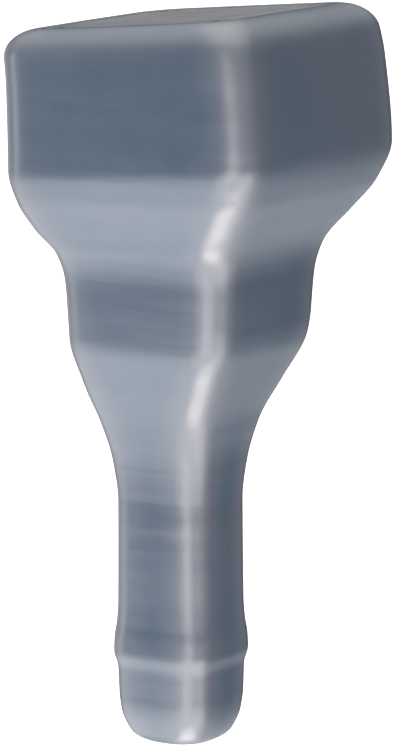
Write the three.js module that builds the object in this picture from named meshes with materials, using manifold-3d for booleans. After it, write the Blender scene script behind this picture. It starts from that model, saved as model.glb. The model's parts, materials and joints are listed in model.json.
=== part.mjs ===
// A plug-in exhaust muffler for compressed air. A thick-walled square body carries an inlet spigot
// at the bottom, a waist chamber, and a head chamber closed by a slotted outlet cover.
// Millimetres. The origin is the middle of the spigot's mouth, +Z runs up the spigot's axis, and
// the body is symmetric about the XZ plane.
import * as THREE from "three";
import { mergeVertices } from "three/addons/utils/BufferGeometryUtils.js";
import Module from "manifold-3d";

const wasm = await Module();
wasm.setup();

// ---------------------------------------------------------------- driving dimensions
const LENGTH = 149; // spigot's mouth to the middle of the head's rim
const TIP_ROUND = 2; // edge rounding at the spigot's mouth
const RIM_ROUND = 5.4; // edge rounding at the head's rim
const HEAD_TILT = THREE.MathUtils.degToRad(5); // the head leans towards -X
const HEAD_X = 2.5; // the rim's middle, off the spigot's axis

// The body's square section: half its width against height.
const HALF_WIDTH = [
  [0, 7.8], // lead-in tip
  [3, 9.4],
  [6, 10.3],
  [10, 10.7],
  [15.5, 10.85],
  [19, 11.45], // retaining bead
  [22, 11.35],
  [25, 11],
  [29, 10.8], // stem
  [50, 10.7],
  [58, 11.4],
  [66, 13.1], // lower cone
  [75, 16.3],
  [84, 19.1], // waist
  [97, 20.1],
  [102, 21.3],
  [108, 25], // shoulder
  [114, 28.2],
  [121, 29.9], // head
  [138, 29.5],
  [LENGTH, 29],
];
// Corner radius of the section, how far its middle sits off the axis, and how far it is tilted.
const CORNER = [
  [0, 5.5],
  [58, 5.5],
  [121, 7],
  [LENGTH, 7],
];
const OFFSET = [
  [0, 0],
  [66, 0],
  [88, 2.5],
  [104, 2.7],
  [114, 4.7],
  [121, 5.4],
  [138, 4.4],
  [LENGTH, HEAD_X],
];
const TILT = [
  [0, 0],
  [84, 0],
  [121, 0.82 * HEAD_TILT],
  [LENGTH, HEAD_TILT],
];

const GAP = 0.3; // between a piece and the seat it rests in
const FIT = 0.4; // around a soft or dropped-in piece

// Outlet cover and the pocket it sits in, measured down from the rim.
const POCKET_HALF = 22.8;
const POCKET_CORNER = 5;
const COVER_TOP = -0.2;
const COVER_BOTTOM = -4.2;
const GASKET = 1; // thickness
const LEDGE = COVER_BOTTOM - GASKET - 2 * GAP; // the ledge that the gasket is pressed on
const SLOT = { long: 9.4, wide: 1.8, columns: 3, rows: 7, pitchX: 11, pitchY: 4.4 };
const SCREEN_HALF = 16.8;
const SCREEN = 0.6;
const SCREEN_POCKET = 1.2; // depth of the cover's underside recess

// Cover screws (M3, countersunk) and their inserts.
const SCREW_AT = 18.3; // from the middle, both ways
const SCREW = { head: 2.9, headDeep: 1.8, shank: 1.25, socket: 1, long: 11 };
const SCREW_HOLE = 1.6;
const INSERT = { outer: 2.3, bore: 1.6, long: 5 };

// Head chamber, measured down from the rim.
const CHAMBER_HALF = 20.5;
const CHAMBER_CORNER = 16;
const CHAMBER_FLOOR = -38.7;
const PAD = 4.5;
const PLATE = 1.1; // both perforated plates

// Waist chamber, measured from the mouth.
const WAIST_BOTTOM = { z: 68, half: 8.3, corner: 8.2, x: 0 };
const WAIST_LOW = { z: 84, half: 14.2, corner: 7.5, x: 2 };
const WAIST_TOP = { z: 114, half: 14.2, corner: 7.5, x: 2.5 };
const WAIST_PACK = [70, 108.4]; // the absorber's lowest and highest point

// Bore, liner and perforated tube, all on the spigot's axis.
const BORE = 5; // radius of the clear air way
const PIPE = 6; // outer radius of the liner and the perforated tube
const MOUTH_LIP = 3; // the lip that the liner rests on
const LINER_TOP = 43;
const STRAINER = { rim: 0.8, wire: 0.5, dome: 3.8 };
const RING = 1.6; // height of the spacer ring
const TUBE_TOP = 130;
const SEAL = { at: 57, wire: 0.75, groove: 2.2 };
const BUSH = { bottom: 60, outer: 8, high: 7 };
const CAP = { flange: 1.6, plug: 3, slack: 0.4 };

// ---------------------------------------------------------------- geometry helpers

// A smooth curve through points [at, value] that doesn't overshoot between them.
function smooth(points, at) {
  const last = points.length - 1;
  const step = (i) => (points[i + 1][1] - points[i][1]) / (points[i + 1][0] - points[i][0]);
  const slope = (i) => {
    if (i === 0) return step(0);
    if (i === last) return step(last - 1);
    const [a, b] = [step(i - 1), step(i)];
    return a * b <= 0 ? 0 : (2 * a * b) / (a + b);
  };
  const x = THREE.MathUtils.clamp(at, points[0][0], points[last][0]);
  let i = 0;
  while (i < last - 1 && x > points[i + 1][0]) i += 1;
  const width = points[i + 1][0] - points[i][0];
  const t = (x - points[i][0]) / width;
  const bend = t * t * (3 - 2 * t);
  const start = t * (1 - t) ** 2 * width * slope(i);
  const end = t * t * (t - 1) * width * slope(i + 1);
  return points[i][1] * (1 - bend) + points[i + 1][1] * bend + start + end;
}

// How much an edge of the given radius takes off the half width, this deep below the edge.
function rounding(radius, depth) {
  const left = THREE.MathUtils.clamp(1 - depth / radius, 0, 1);
  return radius * (1 - Math.sqrt(1 - left * left));
}

// The corner points of a rounded square, anticlockwise seen from above.
function roundedSquare(half, corner, arc = 7) {
  const points = [];
  for (let side = 0; side < 4; side += 1) {
    const middle = new THREE.Vector2(half - corner, half - corner);
    middle.rotateAround(new THREE.Vector2(), (side * Math.PI) / 2);
    for (let k = 0; k <= arc; k += 1) {
      const turn = ((side + k / arc) * Math.PI) / 2;
      points.push(new THREE.Vector2(Math.cos(turn), Math.sin(turn)).multiplyScalar(corner).add(middle));
    }
  }
  return points;
}

function circle(radius, sides, x = 0, y = 0) {
  const points = [];
  for (let k = 0; k < sides; k += 1) {
    const turn = (k / sides) * 2 * Math.PI;
    points.push(new THREE.Vector2(x + radius * Math.cos(turn), y + radius * Math.sin(turn)));
  }
  return points;
}

// A slot with round ends, lying along X.
function slot(long, wide, x, y) {
  const [reach, radius, arc] = [(long - wide) / 2, wide / 2, 5];
  const points = [];
  for (const end of [1, -1])
    for (let k = 0; k <= arc; k += 1) {
      const turn = (k / arc - 0.5) * Math.PI;
      const across = Math.cos(turn) * radius + reach;
      points.push(new THREE.Vector2(x + end * across, y + end * Math.sin(turn) * radius));
    }
  return points;
}

// A flat plate between two heights, with the outline given and holes through it.
function plate(outline, holes, low, high) {
  const shape = new THREE.Shape(outline);
  shape.holes = holes.map((hole) => new THREE.Path(hole));
  const options = { depth: high - low, bevelEnabled: false, steps: 1 };
  return new THREE.ExtrudeGeometry(shape, options).translate(0, 0, low);
}

// A turned piece about Z. The profile's points are [radius, height], anticlockwise.
function turned(profile, sides = 32) {
  const points = profile.map(([radius, z]) => new THREE.Vector2(radius, z));
  return new THREE.LatheGeometry(points, sides).rotateX(Math.PI / 2);
}

function rod(radius, low, high, sides = 32) {
  return turned([[0, low], [radius, low], [radius, high], [0, high]], sides);
}

function tube(bore, outer, low, high, sides = 32) {
  return turned([[bore, low], [outer, low], [outer, high], [bore, high], [bore, low]], sides);
}

// A closed skin over rounded square sections { z, half, corner, x, tilt }, from the lowest up.
function loft(sections) {
  const rings = sections.map(({ z, half, corner, x = 0, tilt = 0 }) =>
    roundedSquare(half, Math.min(corner, half - 0.05)).map(
      (p) => new THREE.Vector3(x + p.x * Math.cos(tilt), p.y, z + p.x * Math.sin(tilt)),
    ),
  );
  const count = rings[0].length;
  const vertices = rings.flat();
  const faces = [];
  for (let r = 0; r + 1 < rings.length; r += 1)
    for (let k = 0; k < count; k += 1) {
      const [a, b] = [r * count + k, r * count + ((k + 1) % count)];
      faces.push(a, b, b + count, a, b + count, a + count);
    }
  const top = (rings.length - 1) * count;
  for (let k = 1; k + 1 < count; k += 1) {
    faces.push(0, k + 1, k);
    faces.push(top, top + k, top + k + 1);
  }
  return new THREE.BufferGeometry().setFromPoints(vertices).setIndex(faces);
}

// A geometry as a solid that can be cut and joined, moved by a matrix if one is given.
function solid(geometry, matrix) {
  const bare = geometry.clone();
  bare.deleteAttribute("normal");
  bare.deleteAttribute("uv");
  if (matrix) bare.applyMatrix4(matrix);
  const merged = mergeVertices(bare, 1e-4);
  const vertProperties = new Float32Array(merged.attributes.position.array);
  const triVerts = new Uint32Array(merged.index.array);
  return new wasm.Manifold(new wasm.Mesh({ numProp: 3, vertProperties, triVerts }));
}

function geometryOf(body) {
  const mesh = body.getMesh();
  const geometry = new THREE.BufferGeometry();
  geometry.setAttribute("position", new THREE.BufferAttribute(mesh.vertProperties, 3));
  geometry.setIndex(new THREE.BufferAttribute(mesh.triVerts, 1));
  geometry.computeVertexNormals();
  return geometry;
}

// ---------------------------------------------------------------- assembly and materials
const muffler = new THREE.Group();
const head = new THREE.Group(); // the head's own frame: Z = 0 is the rim's plane
head.position.set(HEAD_X, 0, LENGTH);
head.rotation.y = -HEAD_TILT;
head.updateMatrix();
muffler.add(head);
const toHead = head.matrix.clone().invert();

function material(color, roughness, metalness = 0) {
  return new THREE.MeshStandardMaterial({ color, roughness, metalness });
}

const MATERIAL = {
  body: material(0x7d8590, 0.5),
  cover: material(0x7f8388, 0.55),
  seal: material(0x1d1e20, 0.8),
  screw: material(0x8e9092, 0.35, 1),
  brass: material(0xb8964a, 0.35, 1),
  mesh: material(0x9a9c9e, 0.4, 1),
  felt: material(0xc4c0b4, 0.95),
  foam: material(0x55585c, 0.95),
  steel: material(0xa6a8aa, 0.4, 1),
};

function add(group, name, shape, look) {
  const geometry = shape.isBufferGeometry ? shape : geometryOf(shape);
  const mesh = new THREE.Mesh(geometry, look);
  mesh.name = name;
  group.add(mesh);
}

// ---------------------------------------------------------------- casing

// The section of the body's outside at a height.
function outside(z) {
  const edge = rounding(TIP_ROUND, z) + rounding(RIM_ROUND, LENGTH - z);
  return {
    z,
    half: smooth(HALF_WIDTH, z) - edge,
    corner: smooth(CORNER, z),
    x: smooth(OFFSET, z),
    tilt: smooth(TILT, z),
  };
}

// Heights of the sections: evenly up the body, and closer together round both edges.
function heights() {
  const [spacing, edgeSteps] = [3.4, 4];
  const list = [];
  for (let k = 0; k < edgeSteps; k += 1)
    list.push(TIP_ROUND * (1 - Math.cos((k / edgeSteps) * (Math.PI / 2))));
  const span = LENGTH - RIM_ROUND - TIP_ROUND;
  const count = Math.round(span / spacing);
  for (let k = 0; k < count; k += 1) list.push(TIP_ROUND + (k / count) * span);
  for (let k = 0; k <= edgeSteps; k += 1)
    list.push(LENGTH - RIM_ROUND * (1 - Math.sin((k / edgeSteps) * (Math.PI / 2))));
  return list;
}

const CORNERS = [
  [1, 1],
  [-1, 1],
  [-1, -1],
  [1, -1],
].map(([x, y]) => [x * SCREW_AT, y * SCREW_AT]);

// The waist chamber's section at a height, made smaller by the slack.
function waist(z, slack = 0) {
  const [from, to] = z < WAIST_LOW.z ? [WAIST_BOTTOM, WAIST_LOW] : [WAIST_LOW, WAIST_TOP];
  const t = (z - from.z) / (to.z - from.z);
  const between = (key) => THREE.MathUtils.lerp(from[key], to[key], t);
  return { z, half: between("half") - slack, corner: between("corner") - slack, x: between("x") };
}

function casing() {
  const pocket = plate(roundedSquare(POCKET_HALF, POCKET_CORNER), [], LEDGE, 1);
  const chamber = plate(roundedSquare(CHAMBER_HALF, CHAMBER_CORNER), [], CHAMBER_FLOOR, LEDGE + 1);
  const inHead = [pocket, chamber];
  for (const [x, y] of CORNERS) {
    const [low, high] = [LEDGE - GAP - INSERT.long - GAP, LEDGE + 1];
    inHead.push(rod(INSERT.outer + GAP, low, high, 16).translate(x, y, 0));
  }
  const onAxis = [
    loft([WAIST_BOTTOM, WAIST_LOW, WAIST_TOP]),
    rod(BUSH.outer + GAP, BUSH.bottom, WAIST_BOTTOM.z + 0.5),
    rod(PIPE + GAP, MOUTH_LIP, BUSH.bottom + 0.5),
    rod(PIPE + 2 * SEAL.wire + GAP, SEAL.at - SEAL.groove / 2, SEAL.at + SEAL.groove / 2),
    rod(BORE, -1, MOUTH_LIP + 0.5),
  ];
  let body = solid(loft(heights().map(outside)));
  for (const cut of inHead) body = body.subtract(solid(cut, head.matrix));
  for (const cut of onAxis) body = body.subtract(solid(cut));
  return body;
}

add(muffler, "casing", casing(), MATERIAL.body);

// ---------------------------------------------------------------- outlet cover and its pieces
function outletCover() {
  const slots = [];
  for (let i = 0; i < SLOT.columns; i += 1)
    for (let j = 0; j < SLOT.rows; j += 1) {
      const x = (i - (SLOT.columns - 1) / 2) * SLOT.pitchX;
      const y = (j - (SLOT.rows - 1) / 2) * SLOT.pitchY;
      slots.push(slot(SLOT.long, SLOT.wide, x, y));
    }
  const outline = roundedSquare(POCKET_HALF - FIT, POCKET_CORNER - FIT);
  const holes = CORNERS.map(([x, y]) => circle(SCREW_HOLE, 16, x, y));
  let cover = solid(plate(outline, [...slots, ...holes], COVER_BOTTOM, COVER_TOP));
  const recessHalf = SCREEN_HALF + FIT;
  const recess = plate(roundedSquare(recessHalf, 3), [], COVER_BOTTOM - 1, COVER_BOTTOM + SCREEN_POCKET);
  cover = cover.subtract(solid(recess));
  const [low, high] = [COVER_TOP - SCREW.headDeep - GAP, COVER_TOP + GAP];
  for (const [x, y] of CORNERS) {
    const cone = turned([[0, low], [SCREW_HOLE, low], [SCREW.head + 2 * GAP, high], [0, high]], 16);
    cover = cover.subtract(solid(cone.translate(x, y, 0)));
  }
  return cover;
}

// A countersunk screw with a hexagon socket, its head flush with the cover.
function coverScrew() {
  const [top, low] = [COVER_TOP, COVER_TOP - SCREW.headDeep];
  const end = COVER_TOP - SCREW.long;
  const profile = [[0, end], [SCREW.shank, end], [SCREW.shank, low], [SCREW.head, top], [0, top]];
  const socket = turned([[0, top - 1.2], [SCREW.socket, top - 1.2], [SCREW.socket, top + 1], [0, top + 1]], 6);
  return solid(turned(profile, 16)).subtract(solid(socket));
}

function coverGasket() {
  const [inner, corner] = [CHAMBER_HALF + FIT, CHAMBER_CORNER - FIT];
  const holes = CORNERS.map(([x, y]) => circle(SCREW_HOLE, 12, x, y));
  const outline = roundedSquare(POCKET_HALF - 2 * FIT, POCKET_CORNER - 2 * FIT);
  return plate(outline, [roundedSquare(inner, corner), ...holes], LEDGE + GAP, LEDGE + GAP + GASKET);
}

add(head, "outlet_cover", outletCover(), MATERIAL.cover);
add(head, "cover_gasket", coverGasket(), MATERIAL.seal);
const screenLow = COVER_BOTTOM + SCREEN_POCKET - GAP - SCREEN;
const screenOutline = roundedSquare(SCREEN_HALF, 2.6);
add(head, "outlet_screen", plate(screenOutline, [], screenLow, screenLow + SCREEN), MATERIAL.mesh);

const insertTop = LEDGE - GAP;
CORNERS.forEach(([x, y], i) => {
  const screw = geometryOf(coverScrew()).translate(x, y, 0);
  const insert = tube(INSERT.bore, INSERT.outer, insertTop - INSERT.long, insertTop, 16);
  add(head, `cover_screw_${i + 1}`, screw, MATERIAL.screw);
  add(head, `threaded_insert_${i + 1}`, insert.translate(x, y, 0), MATERIAL.brass);
});

// ---------------------------------------------------------------- head chamber
const packOutline = roundedSquare(CHAMBER_HALF - FIT, CHAMBER_CORNER - FIT);
const tubeHole = solid(rod(PIPE + FIT, 0, TUBE_TOP + CAP.flange + 2 * GAP), toHead);

const padTop = LEDGE - GAP;
const upperPlateTop = padTop - PAD - GAP;
const foamTop = upperPlateTop - PLATE - GAP;
const lowerPlateTop = CHAMBER_FLOOR + GAP + PLATE;
const foamBottom = lowerPlateTop + GAP;

// Holes on rings round the middle, those on each ring half a pitch on from the last.
function ringHoles(rings, radius) {
  return rings.flatMap(([at, count], r) =>
    Array.from({ length: count }, (_, k) => {
      const turn = ((k + r / 2) / count) * 2 * Math.PI;
      return circle(radius, 8, at * Math.cos(turn), at * Math.sin(turn));
    }),
  );
}

function upperBaffle() {
  const holes = ringHoles([[4, 5], [9, 10], [14, 15]], 1.5);
  return plate(packOutline, holes, upperPlateTop - PLATE, upperPlateTop);
}

function chamberBaffle() {
  const holes = ringHoles([[15.5, 14]], 1.6);
  const sheet = plate(packOutline, holes, lowerPlateTop - PLATE, lowerPlateTop);
  return solid(sheet).subtract(tubeHole);
}

add(head, "outlet_pad", plate(packOutline, [], padTop - PAD, padTop), MATERIAL.felt);
add(head, "upper_baffle", upperBaffle(), MATERIAL.steel);
const foam = solid(plate(packOutline, [], foamBottom, foamTop)).subtract(tubeHole);
add(head, "head_absorber", foam, MATERIAL.foam);
add(head, "chamber_baffle", chamberBaffle(), MATERIAL.steel);

// ---------------------------------------------------------------- waist chamber and spigot
function waistAbsorber() {
  const [low, high] = WAIST_PACK;
  const sleeve = loft([waist(low, FIT), waist(WAIST_LOW.z, FIT), waist(high, FIT)]);
  return solid(sleeve).subtract(solid(rod(PIPE + FIT, low - 1, high + 1)));
}

const strainerLow = LINER_TOP + GAP;
const ringLow = strainerLow + STRAINER.rim + GAP;
const tubeLow = ringLow + RING + GAP;

// The perforated tube: rows of cross holes, each row turned an eighth of a turn from the last.
function diffuserTube() {
  let wall = solid(tube(BORE, PIPE, tubeLow, TUBE_TOP, 24));
  const [rows, pitch, first] = [8, 6, 76];
  for (let r = 0; r < rows; r += 1)
    for (const side of [0, 1]) {
      const drill = rod(1.3, -2 * PIPE, 2 * PIPE, 8).rotateX(Math.PI / 2);
      drill.rotateZ((side / 2 + r / 4) * Math.PI).translate(0, 0, first + r * pitch);
      wall = wall.subtract(solid(drill));
    }
  return wall;
}

function diffuserCap() {
  const [plug, low, seat] = [BORE - CAP.slack, TUBE_TOP - CAP.plug, TUBE_TOP + GAP];
  const top = seat + CAP.flange;
  return turned([[0, low], [plug, low], [plug, seat], [PIPE, seat], [PIPE, top], [0, top]], 24);
}

// A rimmed dome of wire cloth, open below.
function inletStrainer() {
  const dome = (radius, high, base) =>
    Array.from({ length: 6 }, (_, k) => {
      const turn = (k / 5) * (Math.PI / 2);
      return [radius * Math.cos(turn), base + high * Math.sin(turn)];
    });
  const inner = BORE - CAP.slack - STRAINER.wire;
  const inside = dome(inner, STRAINER.dome, strainerLow).reverse();
  const rimTop = strainerLow + STRAINER.rim;
  const over = dome(inner + STRAINER.wire, STRAINER.dome + STRAINER.wire - STRAINER.rim, rimTop);
  return turned([...inside, [PIPE, strainerLow], [PIPE, rimTop], ...over], 24);
}

add(muffler, "waist_absorber", waistAbsorber(), MATERIAL.felt);
add(muffler, "diffuser_tube", diffuserTube(), MATERIAL.steel);
add(muffler, "diffuser_cap", diffuserCap(), MATERIAL.steel);
const bush = tube(PIPE + GAP, BUSH.outer, BUSH.bottom + GAP, BUSH.bottom + GAP + BUSH.high);
add(muffler, "tube_bush", bush, MATERIAL.seal);
const seal = new THREE.TorusGeometry(PIPE + SEAL.wire + GAP / 2, SEAL.wire, 8, 24);
add(muffler, "tube_seal", seal.translate(0, 0, SEAL.at), MATERIAL.seal);
add(muffler, "inlet_liner", tube(BORE, PIPE, MOUTH_LIP + GAP, LINER_TOP), MATERIAL.steel);
add(muffler, "inlet_strainer", inletStrainer(), MATERIAL.mesh);
add(muffler, "spacer_ring", tube(BORE + 0.1, PIPE, ringLow, ringLow + RING, 24), MATERIAL.steel);

export default muffler;
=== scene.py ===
"""The looks of a plug-in exhaust muffler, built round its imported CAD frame. Metres."""
import json
import math

import bpy
import numpy as np
from mathutils import Matrix, Vector, noise


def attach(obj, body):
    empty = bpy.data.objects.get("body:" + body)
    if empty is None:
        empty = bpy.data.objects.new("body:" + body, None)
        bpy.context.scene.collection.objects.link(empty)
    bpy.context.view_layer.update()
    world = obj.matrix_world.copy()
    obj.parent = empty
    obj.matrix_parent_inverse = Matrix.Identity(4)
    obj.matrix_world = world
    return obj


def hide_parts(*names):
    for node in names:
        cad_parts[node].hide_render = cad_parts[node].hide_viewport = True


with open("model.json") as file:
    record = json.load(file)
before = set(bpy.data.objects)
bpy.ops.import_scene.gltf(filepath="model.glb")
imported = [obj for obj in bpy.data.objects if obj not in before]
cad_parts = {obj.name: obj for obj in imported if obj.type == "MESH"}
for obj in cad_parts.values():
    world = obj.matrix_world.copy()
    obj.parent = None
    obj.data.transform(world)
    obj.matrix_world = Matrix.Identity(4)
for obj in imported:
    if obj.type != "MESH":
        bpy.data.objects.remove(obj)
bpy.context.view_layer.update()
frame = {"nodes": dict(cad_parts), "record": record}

MM = 0.001

# ---------------------------------------------------------------- dimensions, in millimetres
LENGTH = 149
TIP_ROUND = 2
RIM_ROUND = 5.4
HEAD_TILT = math.radians(5)
HEAD_X = 2.5
HALF_WIDTH = [
    (0, 7.8), (3, 9.4), (6, 10.3), (10, 10.7), (15.5, 10.85), (19, 11.45), (22, 11.35), (25, 11),
    (29, 10.8), (50, 10.7), (58, 11.4), (66, 13.1), (75, 16.3), (84, 19.1), (97, 20.1), (102, 21.3),
    (108, 25), (114, 28.2), (121, 29.9), (138, 29.5), (LENGTH, 29),
]
CORNER = [(0, 5.5), (58, 5.5), (121, 7), (LENGTH, 7)]
OFFSET = [(0, 0), (66, 0), (88, 2.5), (104, 2.7), (114, 4.7), (121, 5.4), (138, 4.4), (LENGTH, HEAD_X)]
TILT = [(0, 0), (84, 0), (121, 0.82 * HEAD_TILT), (LENGTH, HEAD_TILT)]
CROWN = 0.45  # how far the head's flats stand proud in their middle
HEAD_HALF = 30  # about half the head's width; the crown of other sections goes by their share of it
CORNER_HIGHLIGHT = 5.0  # how far round a corner the painted highlight reaches
CREASE_HIGHLIGHT = 1.0  # how strong the painted highlight on a square crease across the body is, against a corner
CREASE_REACH = 2.5  # how far above and below a height the side's bend is measured

GAP = 0.3
FIT = 0.4
POCKET_HALF, POCKET_CORNER = 22.8, 5
COVER_TOP, COVER_BOTTOM = -0.2, -4.2
GASKET = 1
LEDGE = COVER_BOTTOM - GASKET - 2 * GAP
SLOT_LONG, SLOT_WIDE = 9.4, 1.8
SLOT_COLUMNS, SLOT_ROWS, SLOT_PITCH_X, SLOT_PITCH_Y = 3, 7, 11, 4.4
SCREEN_HALF, SCREEN_CORNER, SCREEN, SCREEN_POCKET = 16.8, 2.6, 0.6, 1.2
SCREEN_WIRE, SCREEN_PITCH, SCREEN_BAND = 0.145, 1.05, 1.1  # a wire's radius, its spacing, the frame's width
SCREW_AT, SCREW_HOLE = 18.3, 1.6
SCREW_HEAD, SCREW_HEAD_DEEP, SCREW_SHANK, SCREW_LONG = 2.9, 1.8, 1.25, 11
THREAD_PITCH, SCREW_THREAD, INSERT_THREAD = 0.5, 0.22, 0.18
SOCKET, SOCKET_DEEP = 1, 1.2  # the screw's hexagon
INSERT_OUTER, INSERT_BORE, INSERT_LONG = 2.3, 1.6, 5
CHAMBER_HALF, CHAMBER_CORNER, CHAMBER_FLOOR = 20.5, 16, -38.7
PAD, PLATE = 4.5, 1.1
WAIST = [(68, 8.3, 8.25, 0), (84, 14.2, 7.5, 2), (114, 14.2, 7.5, 2.5)]  # z, half, corner, x
WAIST_PACK = (70, 108.4)
BORE, PIPE, MOUTH_LIP, LINER_TOP = 5, 6, 3, 43
BUSH_BOTTOM, BUSH_OUTER, BUSH_HIGH = 60, 8, 7
SEAL_AT, SEAL_WIRE, SEAL_GROOVE = 57, 0.75, 2.2
TUBE_TOP, CAP_FLANGE, CAP_PLUG = 130, 1.6, 3
STRAINER_RIM, STRAINER_DOME, RING = 0.8, 3.8, 1.6

AROUND = 192  # points round every section

# ---------------------------------------------------------------- curves and sections


def smooth(points, at):
    """A smooth curve through points (at, value) that doesn't overshoot between them."""
    last = len(points) - 1

    def step(i):
        return (points[i + 1][1] - points[i][1]) / (points[i + 1][0] - points[i][0])

    def slope(i):
        if i == 0:
            return step(0)
        if i == last:
            return step(last - 1)
        a, b = step(i - 1), step(i)
        return 0 if a * b <= 0 else 2 * a * b / (a + b)

    x = min(max(at, points[0][0]), points[last][0])
    i = 0
    while i < last - 1 and x > points[i + 1][0]:
        i += 1
    width = points[i + 1][0] - points[i][0]
    t = (x - points[i][0]) / width
    bend = t * t * (3 - 2 * t)
    start = t * (1 - t) ** 2 * width * slope(i)
    end = t * t * (t - 1) * width * slope(i + 1)
    return points[i][1] * (1 - bend) + points[i + 1][1] * bend + start + end


def rounding(radius, depth):
    """How much an edge of this radius takes off the half width, this deep below the edge."""
    left = min(max(1 - depth / radius, 0), 1)
    return radius * (1 - math.sqrt(1 - left * left))


def directions():
    """The angles of a section's points, closer together at its four corners."""
    per_side = AROUND // 4
    found = []
    for side in range(4):
        for k in range(per_side):
            s = 2 * k / per_side - 1
            found.append(math.pi / 2 * side + math.pi / 4 * (1 + s * (0.45 + 0.55 * s * s)))
    return found


ANGLES = directions()


def square_points(half, corner, crown=0.0):
    """A rounded square as (x, y) points, its flats standing proud by crown in their middle."""
    middle = half - corner
    points = []
    for angle in ANGLES:
        c, s = math.cos(angle), math.sin(angle)
        far, near = max(abs(c), abs(s)), min(abs(c), abs(s))
        reach = half / far
        if reach * near <= middle:
            share = reach * near / middle if middle else 0
            reach += crown * (1 - share * share) ** 2 / far
        else:
            along = middle * (far + near)
            reach = along + math.sqrt(max(along * along - 2 * middle * middle + corner * corner, 0))
        points.append((reach * c, reach * s))
    return points


def ring(z, half, corner, x=0.0, tilt=0.0, crown=0.0):
    """One section across the spigot's axis, as points in millimetres."""
    cos, sin = math.cos(tilt), math.sin(tilt)
    return [(x + px * cos, py, z + px * sin) for px, py in square_points(half, corner, crown)]


def in_head(x, y, z):
    """A point of the head's frame, whose Z = 0 is the rim's plane."""
    cos, sin = math.cos(HEAD_TILT), math.sin(HEAD_TILT)
    return (HEAD_X + x * cos - z * sin, y, LENGTH + x * sin + z * cos)


HEAD_MATRIX = (
    Matrix.Translation((HEAD_X * MM, 0, LENGTH * MM)) @ Matrix.Rotation(-HEAD_TILT, 4, "Y")
)


def head_ring(half, corner, z):
    return [in_head(px, py, z) for px, py in square_points(half, corner)]


def on_head_plane(points, z):
    """Points (x, y) of the spigot's frame, set on a plane of the head's frame."""
    plane_x, _, plane_z = in_head(0, 0, z)
    return [(x, y, plane_z + (x - plane_x) * math.tan(HEAD_TILT)) for x, y in points]


def half_at(z):
    """Half the body's width at a height, its rounded ends included."""
    z = min(max(z, 0), LENGTH)
    return smooth(HALF_WIDTH, z) - rounding(TIP_ROUND, z) - rounding(RIM_ROUND, LENGTH - z)


def corner_at(z):
    """The corner radius of the body's section at a height."""
    return min(smooth(CORNER, z), half_at(z) - 0.05)


def outside(z):
    """The body's outer section at a height."""
    half = half_at(z)
    crown = CROWN * half / HEAD_HALF
    return ring(z, half, corner_at(z), smooth(OFFSET, z), smooth(TILT, z), crown)


def painted_highlight(z):
    """How much painted highlight each point of the outer section gets: most on its corners and outward
    creases.
    """
    below = math.atan2(half_at(z) - half_at(z - CREASE_REACH), CREASE_REACH)
    above = math.atan2(half_at(z + CREASE_REACH) - half_at(z), CREASE_REACH)
    bend = min(max(below - above, 0) / (math.pi / 2), 1) * CREASE_HIGHLIGHT
    points = square_points(half_at(z), corner_at(z))
    tip = max(min(abs(x), abs(y)) for x, y in points)
    shares = [math.exp(-((math.hypot(abs(x) - tip, abs(y) - tip) / CORNER_HIGHLIGHT) ** 2)) for x, y in points]
    return [share + bend - share * bend for share in shares]


def waist_section(z, slack=0.0):
    low, high = (WAIST[0], WAIST[1]) if z < WAIST[1][0] else (WAIST[1], WAIST[2])
    t = (z - low[0]) / (high[0] - low[0])
    half, corner, x = (low[k] + t * (high[k] - low[k]) for k in (1, 2, 3))
    return half - slack, corner - slack, x


# ---------------------------------------------------------------- mesh helpers


def mesh_object(name, vertices, faces, sharp=35):
    """An object from points in millimetres, smooth except at its sharp edges."""
    mesh = bpy.data.meshes.new(name)
    mesh.from_pydata([Vector(v) * MM for v in vertices], [], faces)
    return object_of(name, mesh, sharp)


def object_of(name, mesh, sharp=35):
    obj = bpy.data.objects.new(name, mesh)
    bpy.context.scene.collection.objects.link(obj)
    shade(obj, sharp)
    return obj


def shade(obj, sharp):
    mesh = obj.data
    mesh.validate()
    mesh.polygons.foreach_set("use_smooth", [True] * len(mesh.polygons))
    mesh.set_sharp_from_angle(angle=math.radians(sharp))
    mesh.update()


def sweep(name, rings, closed, sharp=35):
    """A skin over rings of equal length. Closed joins the last to the first, or else both ends are capped."""
    count = len(rings[0])
    vertices = [p for r in rings for p in r]
    faces = []
    for r in range(len(rings) if closed else len(rings) - 1):
        a, b = r * count, (r + 1) % len(rings) * count
        for k in range(count):
            n = (k + 1) % count
            faces.append((a + k, a + n, b + n, b + k))
    if not closed:
        last = (len(rings) - 1) * count
        faces.append(tuple(range(count - 1, -1, -1)))
        faces.append(tuple(last + k for k in range(count)))
    return mesh_object(name, vertices, faces, sharp)


def turned(name, profile, sides=96, closed=False, sharp=35, at=None):
    """A piece turned about Z from (radius, z) points; a radius of 0 is a pole."""
    rings = []
    for radius, z in profile:
        radius = max(radius, 0.01)
        rings.append(
            [
                (radius * math.cos(2 * math.pi * k / sides), radius * math.sin(2 * math.pi * k / sides), z)
                for k in range(sides)
            ]
        )
    if at:
        rings = [[in_head(x + at[0], y + at[1], z) for x, y, z in r] for r in rings]
    return sweep(name, rings, closed, sharp)


def arc_profile(radius, middle, start, end, steps):
    """(radius, z) points on an arc round a middle point, between two angles in degrees."""
    found = []
    for k in range(steps + 1):
        turn = math.radians(start + (end - start) * k / steps)
        found.append((middle[0] + radius * math.cos(turn), middle[1] + radius * math.sin(turn)))
    return found


def edged(bore, outer, low, high, edge):
    """The closed profile of a turned tube whose four edges are rounded."""
    return (
        arc_profile(edge, (outer - edge, low + edge), -90, 0, 4)
        + arc_profile(edge, (outer - edge, high - edge), 0, 90, 4)
        + arc_profile(edge, (bore + edge, high - edge), 90, 180, 4)
        + arc_profile(edge, (bore + edge, low + edge), 180, 270, 4)
    )


def circle(radius, x=0.0, y=0.0, sides=32):
    turns = [2 * math.pi * k / sides for k in range(sides)]
    return [(x + radius * math.cos(t), y + radius * math.sin(t)) for t in turns]


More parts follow.
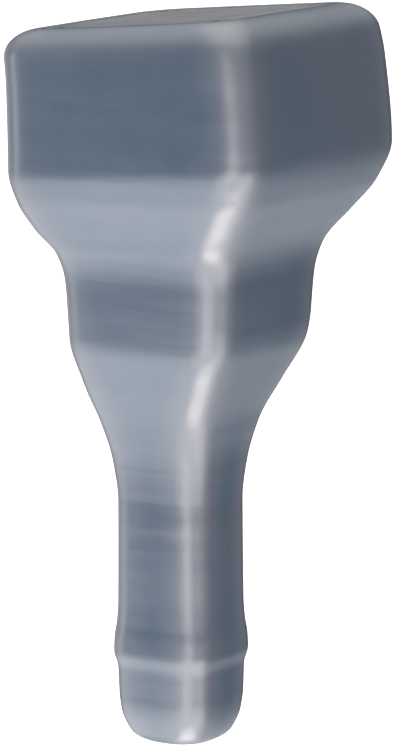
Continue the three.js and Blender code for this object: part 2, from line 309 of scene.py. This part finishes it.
def slot_outline(long, wide, x, y, arc=10):
    reach, radius = (long - wide) / 2, wide / 2
    found = []
    for end in (1, -1):
        for k in range(arc + 1):
            turn = (k / arc - 0.5) * math.pi
            across, up = math.cos(turn) * radius + reach, math.sin(turn) * radius
            found.append((x + end * across, y + end * up))
    return found


def plate(name, outline, holes, low, high, edge, sharp=35):
    """A flat plate in the head's frame with rounded edges, cut out to an outline and holes."""
    curve = bpy.data.curves.new(name, "CURVE")
    curve.dimensions = "2D"
    curve.fill_mode = "BOTH"
    curve.extrude = ((high - low) / 2 - edge) * MM
    curve.bevel_depth = edge * MM
    curve.bevel_resolution = 2
    curve.offset = -edge * MM
    for points, turn_over in [(outline, False)] + [(h, True) for h in holes]:
        spline = curve.splines.new("POLY")
        spline.points.add(len(points) - 1)
        spline.use_cyclic_u = True
        for target, (x, y) in zip(spline.points, reversed(points) if turn_over else points):
            target.co = (x * MM, y * MM, 0, 1)
    drawn = bpy.data.objects.new(name, curve)
    bpy.context.scene.collection.objects.link(drawn)
    bpy.context.view_layer.update()
    graph = bpy.context.evaluated_depsgraph_get()
    mesh = bpy.data.meshes.new_from_object(drawn.evaluated_get(graph))
    bpy.data.objects.remove(drawn)
    mesh.transform(HEAD_MATRIX @ Matrix.Translation((0, 0, (low + high) / 2 * MM)))
    mesh.materials.clear()
    return weld(object_of(name, mesh, sharp), sharp)


def weld(obj, sharp=35):
    """Joins the points that a curve's bevel and fill leave apart."""
    join = obj.modifiers.new("weld", "WELD")
    join.merge_threshold = 0.0005 * MM
    return apply_modifiers(obj, sharp)


def apply_modifiers(obj, sharp=35):
    bpy.context.view_layer.update()
    graph = bpy.context.evaluated_depsgraph_get()
    mesh = bpy.data.meshes.new_from_object(obj.evaluated_get(graph))
    obj.modifiers.clear()
    obj.data = mesh
    shade(obj, sharp)
    return obj


def cut(obj, tools, sharp=35):
    """Cuts each tool out of obj and removes the tools."""
    for tool in tools:
        step = obj.modifiers.new("cut", "BOOLEAN")
        step.operation = "DIFFERENCE"
        step.solver = "EXACT"
        step.object = tool
    apply_modifiers(obj, sharp)
    for tool in tools:
        bpy.data.objects.remove(tool)
    return obj


def wires(name, paths, radius, sides=6):
    """Round wires along paths of points in millimetres."""
    vertices, faces = [], []
    for path in paths:
        points = [Vector(p) for p in path]
        base = len(vertices)
        for i, p in enumerate(points):
            along = points[min(i + 1, len(points) - 1)] - points[max(i - 1, 0)]
            across = along.cross(Vector((0.13, 0.07, 1))).normalized()
            up = across.cross(along).normalized()
            for k in range(sides):
                turn = 2 * math.pi * k / sides
                vertices.append(p + radius * (math.cos(turn) * across + math.sin(turn) * up))
        for i in range(len(points) - 1):
            for k in range(sides):
                n = (k + 1) % sides
                a, b = base + i * sides, base + (i + 1) * sides
                faces.append((a + k, b + k, b + n, a + n))
        last = base + (len(points) - 1) * sides
        faces.append(tuple(base + k for k in range(sides)))
        faces.append(tuple(last + k for k in reversed(range(sides))))
    return mesh_object(name, vertices, faces, sharp=60)


def roughen(obj, sizes):
    """Moves each point along its normal by noise of the given (grain, height) sizes in millimetres."""
    mesh = obj.data
    normals = [v.normal.copy() for v in mesh.vertices]
    for vertex, normal in zip(mesh.vertices, normals):
        move = sum(height * noise.noise(vertex.co / (grain * MM)) for grain, height in sizes)
        vertex.co += normal * move * MM
    mesh.update()
    return obj


# ---------------------------------------------------------------- materials


class Look:
    """A procedural material: noise-driven colour, roughness and bump in object space."""

    def __init__(self, name, roughness, metallic=0.0, scale=1.0):
        self.material = bpy.data.materials.new(name)
        self.material.use_nodes = True
        self.nodes = self.material.node_tree.nodes
        self.links = self.material.node_tree.links
        self.shader = self.nodes["Principled BSDF"]
        self.shader.inputs["Metallic"].default_value = metallic
        self.shader.inputs["Roughness"].default_value = roughness
        coordinates = self.nodes.new("ShaderNodeTexCoord")
        mapping = self.nodes.new("ShaderNodeMapping")
        mapping.inputs["Scale"].default_value = (scale / MM,) * 3  # texture units of a millimetre
        self.links.new(coordinates.outputs["Object"], mapping.inputs["Vector"])
        self.place = mapping.outputs["Vector"]
        self.normal = None

    def set(self, **values):
        for name, value in values.items():
            self.shader.inputs[name.replace("_", " ")].default_value = value
        return self

    def noise(self, per_mm, detail=3.0, rough=0.5, stretch=None):
        """Noise with this many grains to a millimetre."""
        place = self.place
        if stretch:
            mapping = self.nodes.new("ShaderNodeMapping")
            mapping.inputs["Scale"].default_value = stretch
            self.links.new(place, mapping.inputs["Vector"])
            place = mapping.outputs["Vector"]
        texture = self.nodes.new("ShaderNodeTexNoise")
        texture.inputs["Scale"].default_value = per_mm
        texture.inputs["Detail"].default_value = detail
        texture.inputs["Roughness"].default_value = rough
        self.links.new(place, texture.inputs["Vector"])
        return texture.outputs["Fac"]

    def cells(self, per_mm, feature="F1"):
        texture = self.nodes.new("ShaderNodeTexVoronoi")
        texture.feature = feature
        texture.inputs["Scale"].default_value = per_mm
        self.links.new(self.place, texture.inputs["Vector"])
        return texture.outputs["Distance"]

    def attribute(self, name):
        node = self.nodes.new("ShaderNodeAttribute")
        node.attribute_name = name
        return node.outputs["Fac"]

    def between(self, value, low, high, to_low=0.0, to_high=1.0):
        node = self.nodes.new("ShaderNodeMapRange")
        for name, number in zip(("From Min", "From Max", "To Min", "To Max"), (low, high, to_low, to_high)):
            node.inputs[name].default_value = number
        self.links.new(value, node.inputs["Value"])
        return node.outputs["Result"]

    def times(self, a, b):
        node = self.nodes.new("ShaderNodeMath")
        node.operation = "MULTIPLY"
        self.links.new(a, node.inputs[0])
        if isinstance(b, (int, float)):
            node.inputs[1].default_value = b
        else:
            self.links.new(b, node.inputs[1])
        return node.outputs[0]

    def mix(self, share, a, b):
        """Colour a towards colour b; each is a colour or an output."""
        node = self.nodes.new("ShaderNodeMix")
        node.data_type = "RGBA"
        self.links.new(share, node.inputs["Factor"])
        for value, socket in ((a, node.inputs[6]), (b, node.inputs[7])):
            if isinstance(value, tuple):
                socket.default_value = (*value, 1)
            else:
                self.links.new(value, socket)
        return node.outputs[2]

    def colour(self, output):
        self.links.new(output, self.shader.inputs["Base Color"])
        return self

    def rough(self, output):
        self.links.new(output, self.shader.inputs["Roughness"])
        return self

    def bump(self, height, depth, strength=1.0):
        """A bump of this depth in millimetres, on top of those already there."""
        node = self.nodes.new("ShaderNodeBump")
        node.inputs["Strength"].default_value = strength
        node.inputs["Distance"].default_value = depth * MM
        self.links.new(height, node.inputs["Height"])
        if self.normal:
            self.links.new(self.normal, node.inputs["Normal"])
        self.normal = node.outputs["Normal"]
        self.links.new(self.normal, self.shader.inputs["Normal"])
        return self


def moulded_body():
    look = Look("moulded_body", 0.4)
    clouds = look.between(look.noise(0.06, 4), 0.35, 0.65)
    base = look.mix(clouds, (0.058, 0.091, 0.136), (0.066, 0.099, 0.144))
    specks = look.between(look.noise(3.5, 2), 0.60, 0.75)
    base = look.mix(look.times(specks, 0.12), base, (0.16, 0.17, 0.19))
    # Painted highlight: the corners and outward creases are lightened in patches towards a pale colour,
    # standing in for the sheen on the ridges.
    patchy = look.between(look.noise(0.12, 3, 0.5), 0.2, 0.8, 0.75, 1.0)
    highlight_amount = look.times(look.times(look.attribute("painted_highlight"), patchy), 0.48)
    look.colour(look.mix(highlight_amount, base, (0.30, 0.28, 0.30)))
    look.rough(look.between(look.noise(0.25, 5, 0.6), 0.3, 0.7, 0.34, 0.42))
    look.set(Specular_IOR_Level=1.0, Coat_Weight=0.6, Coat_Roughness=0.32)
    look.bump(look.noise(0.13, 1, 0.5, stretch=(0.12, 0.12, 1)), 0.5)
    look.bump(look.noise(0.3, 2, 0.5, stretch=(0.12, 0.12, 1)), 0.12)
    return look.bump(look.noise(4, 3), 0.006)


def moulded_cover():
    look = Look("moulded_cover", 0.5)
    clouds = look.between(look.noise(0.1, 4), 0.35, 0.65)
    look.colour(look.mix(clouds, (0.175, 0.182, 0.194), (0.205, 0.210, 0.220)))
    look.rough(look.between(look.noise(0.4, 4), 0.3, 0.7, 0.46, 0.58))
    look.bump(look.cells(3.2), 0.02, 0.5)
    return look.bump(look.noise(0.2, 2), 0.04)


def seal_rubber():
    look = Look("seal_rubber", 0.7)
    dust = look.between(look.noise(0.8, 5, 0.7), 0.45, 0.8)
    look.colour(look.mix(dust, (0.018, 0.018, 0.019), (0.045, 0.044, 0.043)))
    look.rough(look.between(look.noise(1.2, 4), 0.3, 0.7, 0.62, 0.82))
    return look.bump(look.noise(5, 3), 0.012)


def metal(name, light, dark, roughness, brushed):
    """Turned or rolled metal: fine lines stretched one way, and faint stains."""
    look = Look(name, roughness, metallic=1.0)
    stain = look.between(look.noise(0.35, 5, 0.65), 0.4, 0.75)
    look.colour(look.mix(stain, light, dark))
    lines = look.noise(2.0, 4, 0.6, stretch=brushed)
    look.rough(look.between(lines, 0.3, 0.7, roughness - 0.08, roughness + 0.12))
    return look.bump(lines, 0.006)


def felt():
    look = Look("felt", 0.95)
    tufts = look.noise(0.9, 6, 0.75)
    look.colour(look.mix(look.between(tufts, 0.3, 0.7), (0.42, 0.40, 0.36), (0.62, 0.60, 0.55)))
    look.rough(look.between(tufts, 0.3, 0.7, 0.86, 1.0))
    look.set(Sheen_Weight=0.35, Sheen_Roughness=0.5)
    look.bump(look.noise(1.2, 6, 0.8, stretch=(1, 3.5, 1)), 0.25)
    return look.bump(look.noise(1.4, 6, 0.8, stretch=(3.5, 1, 1)), 0.2)


def foam():
    look = Look("foam", 0.95)
    pores = look.between(look.cells(1.1), 0.12, 0.5)
    look.colour(look.mix(pores, (0.12, 0.125, 0.13), (0.025, 0.026, 0.028)))
    look.rough(look.between(pores, 0, 1, 0.9, 1.0))
    return look.bump(pores, -0.5)


LOOKS = {
    "moulded_body": moulded_body(),
    "moulded_cover": moulded_cover(),
    "seal_rubber": seal_rubber(),
    "screw_steel": metal("screw_steel", (0.58, 0.58, 0.58), (0.40, 0.39, 0.37), 0.3, (1, 1, 6)),
    "insert_brass": metal("insert_brass", (0.72, 0.52, 0.25), (0.45, 0.30, 0.13), 0.3, (1, 1, 6)),
    "wire_cloth": metal("wire_cloth", (0.55, 0.55, 0.54), (0.36, 0.35, 0.33), 0.35, (1, 1, 1)),
    "felt": felt(),
    "foam": foam(),
    "plated_steel": metal("plated_steel", (0.60, 0.61, 0.62), (0.43, 0.43, 0.42), 0.36, (0.2, 1, 1)),
}
SLOT_OF = {s["node"]: s["material_slot"] for s in frame["record"]["subparts"]}


def dress(obj, slot):
    """Gives obj the look of a material slot."""
    obj.data.materials.clear()
    obj.data.materials.append(LOOKS[slot].material)


def stand_for(obj, node):
    """obj is shown in place of a CAD node: same body, same material slot."""
    slot = SLOT_OF[node]
    dress(obj, slot)
    body = next(b for b, members in frame["record"]["behaviour"]["bodies"].items() if node in members)
    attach(obj, body)
    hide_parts(node)
    return obj


CORNERS = [(x * SCREW_AT, y * SCREW_AT) for x, y in ((1, 1), (-1, 1), (-1, -1), (1, -1))]

# ---------------------------------------------------------------- casing


def casing_rings():
    """The casing's sections up the outside and down the inside, and how much painted highlight the outside
    gets.
    """
    body_steps, edge_steps = 210, 12
    heights = [TIP_ROUND * (1 - math.cos(k / edge_steps * math.pi / 2)) for k in range(edge_steps)]
    span = LENGTH - TIP_ROUND - RIM_ROUND
    heights += [TIP_ROUND + k / body_steps * span for k in range(body_steps)]
    turns = [k / edge_steps * math.pi / 2 for k in range(edge_steps + 1)]
    heights += [LENGTH - RIM_ROUND * (1 - math.sin(t)) for t in turns]
    outer = [outside(z) for z in heights]
    highlight_shares = [share for z in heights for share in painted_highlight(z)]

    lip = 0.3
    inner = [head_ring(POCKET_HALF + lip, POCKET_CORNER + lip, 0)]
    inner += [head_ring(POCKET_HALF + 0.1, POCKET_CORNER + 0.1, -0.1)]
    inner += [head_ring(POCKET_HALF, POCKET_CORNER, -lip), head_ring(POCKET_HALF, POCKET_CORNER, LEDGE + lip)]
    inner += [head_ring(POCKET_HALF - lip, POCKET_CORNER - lip, LEDGE)]
    inner += [head_ring(CHAMBER_HALF + lip, CHAMBER_CORNER - lip, LEDGE)]
    inner += [head_ring(CHAMBER_HALF, CHAMBER_CORNER, LEDGE - lip)]
    inner += [head_ring(CHAMBER_HALF, CHAMBER_CORNER, CHAMBER_FLOOR)]
    half, corner, x = waist_section(110)
    inner += [on_head_plane([(x + px, py) for px, py in square_points(half, corner)], CHAMBER_FLOOR)]
    for z in (104, 96, 90, WAIST[1][0], 80, 76, 72, WAIST[0][0]):
        half, corner, x = waist_section(z)
        inner += [ring(z, half, corner, x)]
    seat, bore = BUSH_OUTER + GAP, PIPE + GAP
    groove = PIPE + 2 * SEAL_WIRE + GAP
    steps = [(seat, BUSH_BOTTOM), (bore, BUSH_BOTTOM), (bore, SEAL_AT + SEAL_GROOVE / 2)]
    steps += [(groove, SEAL_AT + SEAL_GROOVE / 2), (groove, SEAL_AT - SEAL_GROOVE / 2)]
    steps += [(bore, SEAL_AT - SEAL_GROOVE / 2), (bore, MOUTH_LIP), (BORE, MOUTH_LIP)]
    steps += [(BORE, 0.25), (BORE + 0.07, 0.07), (BORE + 0.25, 0)]
    inner += [ring(z, radius, radius) for radius, z in steps]
    return outer, inner, highlight_shares


def casing_skin():
    outer, inner, highlight_shares = casing_rings()
    obj = sweep("casing_skin", outer + inner, closed=True, sharp=40)
    # Each outer point's share of the painted highlight; the inside gets none.
    mark = obj.data.attributes.new("painted_highlight", "FLOAT", "POINT")
    mark.data.foreach_set("value", np.array(highlight_shares + [0.0] * (AROUND * len(inner)), np.float32))
    bottom = LEDGE - GAP - INSERT_LONG - GAP
    hole = [(0, bottom), (INSERT_OUTER + GAP, bottom), (INSERT_OUTER + GAP, LEDGE + 0.3), (0, LEDGE + 0.3)]
    drills = [turned(f"drill_{i}", hole, 48, at=c) for i, c in enumerate(CORNERS)]
    cut(obj, drills, sharp=40)
    return stand_for(obj, "casing")


casing_skin()

# ---------------------------------------------------------------- outlet cover and its pieces


def outlet_cover():
    slots = []
    for i in range(SLOT_COLUMNS):
        for j in range(SLOT_ROWS):
            x = (i - (SLOT_COLUMNS - 1) / 2) * SLOT_PITCH_X
            y = (j - (SLOT_ROWS - 1) / 2) * SLOT_PITCH_Y
            slots.append(slot_outline(SLOT_LONG, SLOT_WIDE, x, y))
    outline = square_points(POCKET_HALF - FIT, POCKET_CORNER - FIT)
    holes = slots + [circle(SCREW_HOLE, x, y) for x, y in CORNERS]
    obj = plate("outlet_cover_moulding", outline, holes, COVER_BOTTOM, COVER_TOP, 0.25)
    low, high = COVER_TOP - SCREW_HEAD_DEEP - GAP, COVER_TOP + GAP
    cone = [(0, low), (SCREW_HOLE, low), (SCREW_HEAD + 2 * GAP, high), (0, high)]
    tools = [turned(f"sink_{i}", cone, 48, at=c) for i, c in enumerate(CORNERS)]
    recess = [
        head_ring(SCREEN_HALF + FIT, 3, COVER_BOTTOM - 1),
        head_ring(SCREEN_HALF + FIT, 3, COVER_BOTTOM + SCREEN_POCKET),
    ]
    tools.append(sweep("recess", recess, closed=False))
    return stand_for(cut(obj, tools), "outlet_cover")


def cover_screw(i, at):
    """A countersunk screw with rounded edges and a hexagon socket."""
    top, low, end = COVER_TOP, COVER_TOP - SCREW_HEAD_DEEP, COVER_TOP - SCREW_LONG
    profile = [(0, end), (SCREW_SHANK - 0.3, end), (SCREW_SHANK, end + 0.3)]
    z = end + 0.6
    while z < low - 1:
        profile += [(SCREW_SHANK, z), (SCREW_SHANK - SCREW_THREAD, z + THREAD_PITCH / 2)]
        z += THREAD_PITCH
    profile += [(SCREW_SHANK, low), (SCREW_HEAD - 0.12, top - 0.28), (SCREW_HEAD, top - 0.18)]
    profile += [(SCREW_HEAD - 0.05, top - 0.05), (SCREW_HEAD - 0.18, top), (0, top)]
    obj = turned(f"cover_screw_{i}_turned", profile, 64, at=at)
    floor, above = top - SOCKET_DEEP, top + 1
    socket = turned("socket", [(0, floor), (SOCKET, floor), (SOCKET, above), (0, above)], 6, at=at)
    return stand_for(cut(obj, [socket]), f"cover_screw_{i}")


def threaded_insert(i, at):
    """A turned brass insert with a threaded bore and a shallow grooved band."""
    top = LEDGE - GAP
    low = top - INSERT_LONG
    bore = [(INSERT_BORE + 0.25, top), (INSERT_BORE + 0.02, top - 0.25)]
    z = top - 0.5
    while z > low + 0.4:
        bore += [(INSERT_BORE, z), (INSERT_BORE + INSERT_THREAD, z - THREAD_PITCH / 2)]
        z -= THREAD_PITCH
    bore += [(INSERT_BORE + 0.2, low)]
    outer = [(INSERT_OUTER - 0.2, low), (INSERT_OUTER, low + 0.2), (INSERT_OUTER, low + 1.6)]
    outer += [(INSERT_OUTER - 0.25, low + 1.8), (INSERT_OUTER - 0.25, low + 2.6), (INSERT_OUTER, low + 2.8)]
    outer += [(INSERT_OUTER, top - 0.2), (INSERT_OUTER - 0.2, top)]
    obj = turned(f"threaded_insert_{i}_turned", outer + bore, 64, closed=True, at=at)
    return stand_for(obj, f"threaded_insert_{i}")


def cover_gasket():
    outline = square_points(POCKET_HALF - 2 * FIT, POCKET_CORNER - 2 * FIT)
    inner = square_points(CHAMBER_HALF + FIT, CHAMBER_CORNER - FIT)
    holes = [inner] + [circle(SCREW_HOLE, x, y) for x, y in CORNERS]
    obj = plate("cover_gasket_sheet", outline, holes, LEDGE + GAP, LEDGE + GAP + GASKET, 0.12)
    return stand_for(obj, "cover_gasket")


def reach_at(across, half, corner):
    """How far a rounded square reaches one way, this far across the other."""
    over = abs(across) - (half - corner)
    return half if over <= 0 else half - corner + math.sqrt(max(corner * corner - over * over, 0))


def outlet_screen():
    """Plain-woven wire cloth, each wire passing over and under its neighbours, in a pressed frame."""
    radius, pitch = SCREEN_WIRE, SCREEN_PITCH
    middle = COVER_BOTTOM + SCREEN_POCKET - GAP - SCREEN / 2
    half = SCREEN_HALF - 0.3
    count = int(half / pitch)
    paths = []
    for way in (0, 1):
        for i in range(-count, count + 1):
            across = i * pitch
            reach = reach_at(across, half, SCREEN_CORNER)
            steps = int(2 * reach / pitch * 4)
            path = []
            for k in range(steps + 1):
                along = -reach + 2 * reach * k / steps
                wave = radius * math.cos(math.pi * (along / pitch + i + way))
                x, y = (along, across) if way == 0 else (across, along)
                path.append(in_head(x, y, middle + wave))
            paths.append(path)
    cloth = wires("outlet_screen_cloth", paths, radius, 5)
    stand_for(cloth, "outlet_screen")
    low, high = middle - SCREEN / 2, middle + SCREEN / 2
    hole = [square_points(SCREEN_HALF - SCREEN_BAND, SCREEN_CORNER - 1)]
    rim = plate("outlet_screen_rim", square_points(SCREEN_HALF, SCREEN_CORNER), hole, low, high, 0.1)
    dress(rim, "plated_steel")
    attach(rim, "cover")


outlet_cover()
cover_gasket()
outlet_screen()
for number, place in enumerate(CORNERS, 1):
    cover_screw(number, place)
    threaded_insert(number, place)

# ---------------------------------------------------------------- soft pieces


def block_rings(half, corner, low, high, edge, dome, steps=22):
    """Sections of a soft block in the head's frame: bottom middle, rounded sides, domed top middle."""
    def level(share, z, lift):
        return z + lift * dome * (1 - share * share)

    inward = [1 - (k + 1) / (steps + 1) for k in range(steps)]
    flat = (half - edge) / half
    rings = [(flat * s, level(s, low, 0)) for s in reversed(inward)]
    for k in range(7):
        turn = math.radians(-90 + 30 * k)
        rings.append(
            (
                (half - edge + edge * math.cos(turn)) / half,
                (low + edge if k < 4 else high - edge) + edge * math.sin(turn),
            )
        )
    rings += [(flat * s, level(s, high, 1)) for s in inward]
    return [[in_head(px * s, py * s, z) for px, py in square_points(half, corner)] for s, z in rings]


PACK_HALF, PACK_CORNER = CHAMBER_HALF - FIT, CHAMBER_CORNER - FIT
pad_top = LEDGE - GAP
upper_plate_top = pad_top - PAD - GAP
foam_top = upper_plate_top - PLATE - GAP
lower_plate_top = CHAMBER_FLOOR + GAP + PLATE
foam_bottom = lower_plate_top + GAP


def outlet_pad():
    shrink = 0.15
    rings = block_rings(PACK_HALF - shrink, PACK_CORNER, pad_top - PAD + shrink, pad_top - shrink, 0.7, 0.1)
    obj = sweep("outlet_pad_felt", rings, closed=False, sharp=80)
    roughen(obj, [(1.4, 0.12), (0.5, 0.06)])
    stand_for(obj, "outlet_pad")


def head_absorber():
    """The foam block, with a blind hole from below for the perforated tube."""
    shrink = 0.2
    low, high, edge = foam_bottom + shrink, foam_top - shrink, 1.0
    outer = block_rings(PACK_HALF - shrink, PACK_CORNER, low, high, edge, 0.2)
    radius = PIPE + FIT + shrink
    hole_top = TUBE_TOP + CAP_FLANGE + 2 * GAP + shrink
    disc = [(px * radius, py * radius) for px, py in square_points(1, 1)]
    blind = [ring(hole_top, radius * s, radius * s) for s in (0.02, 0.5, 1)]
    blind += [ring(hole_top - k * 4, radius, radius) for k in (1, 2, 3, 4)]
    start = [r for r in outer if max(abs(p[1]) for p in r) > radius + 2.5]
    skirt = [on_head_plane(disc, low)]
    obj = sweep("head_absorber_foam", blind + skirt + start, closed=False, sharp=80)
    roughen(obj, [(2.2, 0.25), (0.8, 0.12)])
    stand_for(obj, "head_absorber")


def waist_absorber():
    shrink = 0.2
    low, high = WAIST_PACK[0] + shrink, WAIST_PACK[1] - shrink
    radius = PIPE + FIT + shrink
    heights = [low + (high - low) * k / 40 for k in range(41)]
    outer = []
    for z in heights:
        end = min(z - low, high - z)
        half, corner, x = waist_section(z, FIT + shrink + rounding(0.8, end))
        outer.append(ring(z, half, corner, x))
    inner = [ring(z, radius, radius) for z in reversed(heights)]
    obj = sweep("waist_absorber_felt", outer + inner, closed=True, sharp=80)
    roughen(obj, [(1.6, 0.12), (0.6, 0.06)])
    stand_for(obj, "waist_absorber")


outlet_pad()
head_absorber()
waist_absorber()

# ---------------------------------------------------------------- spigot and tube pieces


def air_way():
    liner = edged(BORE, PIPE, MOUTH_LIP + GAP, LINER_TOP, 0.2)
    stand_for(turned("inlet_liner_drawn", liner, closed=True), "inlet_liner")
    strainer_low = LINER_TOP + GAP
    ring_low = strainer_low + STRAINER_RIM + GAP
    spacer = edged(BORE + 0.1, PIPE, ring_low, ring_low + RING, 0.2)
    stand_for(turned("spacer_ring_turned", spacer, closed=True), "spacer_ring")
    bush = edged(PIPE + GAP, BUSH_OUTER, BUSH_BOTTOM + GAP, BUSH_BOTTOM + GAP + BUSH_HIGH, 0.5)
    stand_for(turned("tube_bush_moulded", bush, closed=True), "tube_bush")
    seal = arc_profile(SEAL_WIRE, (PIPE + SEAL_WIRE + GAP / 2, SEAL_AT), 0, 345, 23)
    stand_for(turned("tube_seal_ring", seal, closed=True, sharp=60), "tube_seal")
    plug, low, seat = BORE - FIT, TUBE_TOP - CAP_PLUG, TUBE_TOP + GAP
    top = seat + CAP_FLANGE
    cap = [(0, low), (plug - 0.3, low), (plug, low + 0.3), (plug, seat), (PIPE - 0.1, seat)]
    cap += [(PIPE, seat + 0.1), (PIPE, top - 0.3), (PIPE - 0.3, top), (0, top)]
    stand_for(turned("diffuser_cap_turned", cap), "diffuser_cap")


def inlet_strainer():
    """A dome of woven wire in a rolled rim."""
    low = LINER_TOP + GAP
    radius, wire = BORE - FIT - 0.3, 0.11
    base = low + 0.2
    paths = []
    for k in range(24):
        turn = 2 * math.pi * k / 24
        path = []
        for j in range(13):
            rise = math.pi / 2 * j / 13
            across = radius * math.cos(rise)
            z = base + STRAINER_DOME * math.sin(rise)
            path.append((across * math.cos(turn), across * math.sin(turn), z))
        paths.append(path)
    for j in range(1, 12):
        rise = math.pi / 2 * j / 12.5
        across, z = radius * math.cos(rise), base + STRAINER_DOME * math.sin(rise)
        turns = [2 * math.pi * k / 48 for k in range(49)]
        paths.append([(across * math.cos(t), across * math.sin(t), z) for t in turns])
    dome = wires("inlet_strainer_dome", paths, wire, 6)
    stand_for(dome, "inlet_strainer")
    rim = turned("inlet_strainer_rim", edged(radius - 0.2, PIPE, low, low + STRAINER_RIM, 0.2), closed=True)
    dress(rim, "plated_steel")
    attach(rim, "casing")


air_way()
inlet_strainer()
for node in ("upper_baffle", "chamber_baffle", "diffuser_tube"):
    dress(frame["nodes"][node], SLOT_OF[node])

# ---------------------------------------------------------------- camera, floor and light
TARGET = Vector((4.9, 0, 76.3)) * MM
VIEW_TURN, VIEW_RISE, VIEW_ROLL = math.radians(33.5), math.radians(9.6), math.radians(0.25)
DISTANCE = 1.1
FOCAL_PIXELS = 5427
FRAME_PIXELS, SENSOR = 747, 36


def camera():
    back = Vector(
        (
            math.sin(VIEW_TURN) * math.cos(VIEW_RISE),
            -math.cos(VIEW_TURN) * math.cos(VIEW_RISE),
            math.sin(VIEW_RISE),
        )
    )
    level = Vector((math.cos(VIEW_TURN), math.sin(VIEW_TURN), 0))
    upward = back.cross(level)
    right = level * math.cos(VIEW_ROLL) - upward * math.sin(VIEW_ROLL)
    up = level * math.sin(VIEW_ROLL) + upward * math.cos(VIEW_ROLL)
    data = bpy.data.cameras.new("camera")
    data.sensor_width = SENSOR
    data.lens = FOCAL_PIXELS / FRAME_PIXELS * SENSOR
    data.clip_end = 50
    obj = bpy.data.objects.new("camera", data)
    bpy.context.scene.collection.objects.link(obj)
    place = Matrix((right, up, back)).transposed().to_4x4()
    place.translation = TARGET + back * DISTANCE
    obj.matrix_world = place
    bpy.context.scene.camera = obj


FLOOR_DROP = 1.5  # the muffler hangs this far above the floor
FLOOR_REACH, WALL_BEND = 2.5, 1.5  # the sweep's flat floor and its bend, in metres


def studio_sweep():
    """A plain white floor that bends up into a dome. Only the camera sees it, and it lights nothing."""
    bend = [math.radians(10 * k) for k in range(10)]
    wall = FLOOR_REACH + WALL_BEND
    profile = [(0, 0)]
    profile += [(FLOOR_REACH + WALL_BEND * math.sin(t), WALL_BEND * (1 - math.cos(t))) for t in bend]
    profile += [(wall * math.cos(t), WALL_BEND + wall * math.sin(t)) for t in bend[1:]]
    sides, vertices, faces = 96, [], []
    for radius, z in profile:
        for k in range(sides):
            turn = 2 * math.pi * k / sides
            vertices.append((radius * math.cos(turn), radius * math.sin(turn), z - FLOOR_DROP))
    for r in range(len(profile) - 1):
        for k in range(sides):
            n = (k + 1) % sides
            faces.append((r * sides + k, r * sides + n, (r + 1) * sides + n, (r + 1) * sides + k))
    mesh = bpy.data.meshes.new("studio_sweep")
    mesh.from_pydata(vertices, [], faces)
    obj = object_of("studio_sweep", mesh)
    look = Look("studio_sweep", 0.8)
    patches = look.between(look.noise(0.004, 2), 0.3, 0.7)
    look.colour(look.mix(patches, (0.86, 0.86, 0.86), (0.88, 0.88, 0.88)))
    look.set(Emission_Color=(1, 1, 1, 1), Emission_Strength=1.0)
    obj.data.materials.append(look.material)
    obj.visible_diffuse = obj.visible_glossy = obj.visible_shadow = False


def area_light(name, place, size, watts, colour=(1, 1, 1)):
    """A soft box that faces the muffler."""
    data = bpy.data.lights.new(name, "AREA")
    data.shape = "ELLIPSE"
    data.size, data.size_y = size
    data.energy = watts
    data.color = colour
    obj = bpy.data.objects.new(name, data)
    bpy.context.scene.collection.objects.link(obj)
    obj.location = place
    obj.rotation_euler = (MIDDLE - Vector(place)).to_track_quat("-Z", "Y").to_euler()
    obj.visible_camera = False


# The light that comes from each height, from straight below, -1, to straight above, 1.
SKY = [(-1, 2.5), (-0.85, 0.5), (-0.5, 0.7), (-0.3, 0.05), (0.2, 0.02), (0.45, 0.5), (1, 2)]


def sky():
    """Light from all round, brightest from below, as over a light table."""
    world = bpy.data.worlds.new("studio")
    bpy.context.scene.world = world
    world.use_nodes = True
    nodes, links = world.node_tree.nodes, world.node_tree.links
    background = nodes["Background"]
    coordinates = nodes.new("ShaderNodeTexCoord")
    split = nodes.new("ShaderNodeSeparateXYZ")
    height = nodes.new("ShaderNodeMapRange")
    height.inputs["From Min"].default_value = -1
    ramp = nodes.new("ShaderNodeValToRGB")
    links.new(coordinates.outputs["Generated"], split.inputs["Vector"])
    links.new(split.outputs["Z"], height.inputs["Value"])
    links.new(height.outputs["Result"], ramp.inputs["Fac"])
    links.new(ramp.outputs["Color"], background.inputs["Color"])
    stops = ramp.color_ramp.elements
    for z, _ in SKY[1:-1]:
        stops.new((z + 1) / 2)
    for stop, (_, level) in zip(stops, SKY):
        stop.color = (level, level, level, 1)


MIDDLE = Vector((0.004, 0, 0.09))


def toward(turn, rise, distance):
    """A place this far from the muffler's middle, at a turn from the front and a rise, in degrees."""
    turn, rise = math.radians(turn), math.radians(rise)
    flat = Vector((math.sin(turn), -math.cos(turn), 0)) * math.cos(rise)
    return MIDDLE + (flat + Vector((0, 0, math.sin(rise)))) * distance


camera()
studio_sweep()
sky()
area_light("front", toward(33, 0, 1.0), (0.6, 0.7), 1.6, (0.97, 0.95, 1.0))
area_light("front_below", toward(30, -25, 1.0), (0.8, 0.7), 3)
area_light("low_front", toward(0, -35, 0.6), (0.5, 0.5), 0.8)
area_light("low_front_left", toward(-35, -40, 0.6), (0.5, 0.5), 0.6, (0.93, 0.95, 1.0))
area_light("low_left", toward(-70, -35, 0.5), (0.5, 0.5), 0.6)
area_light("low_right", toward(80, -40, 0.6), (0.5, 0.5), 1.3, (1.0, 0.94, 0.93))
area_light("under", toward(33, -75, 0.6), (0.4, 0.4), 1.5, (1.0, 0.93, 0.86))
area_light("left", toward(-60, 5, 0.9), (0.4, 0.5), 1.2, (0.8, 0.88, 1.0))
area_light("far_left", toward(-110, 0, 0.9), (0.4, 0.6), 0.4)
area_light("far_right", toward(150, 5, 0.9), (0.4, 0.6), 0.15, (1.0, 0.8, 0.7))

scene = bpy.context.scene
scene.view_settings.view_transform = "Standard"
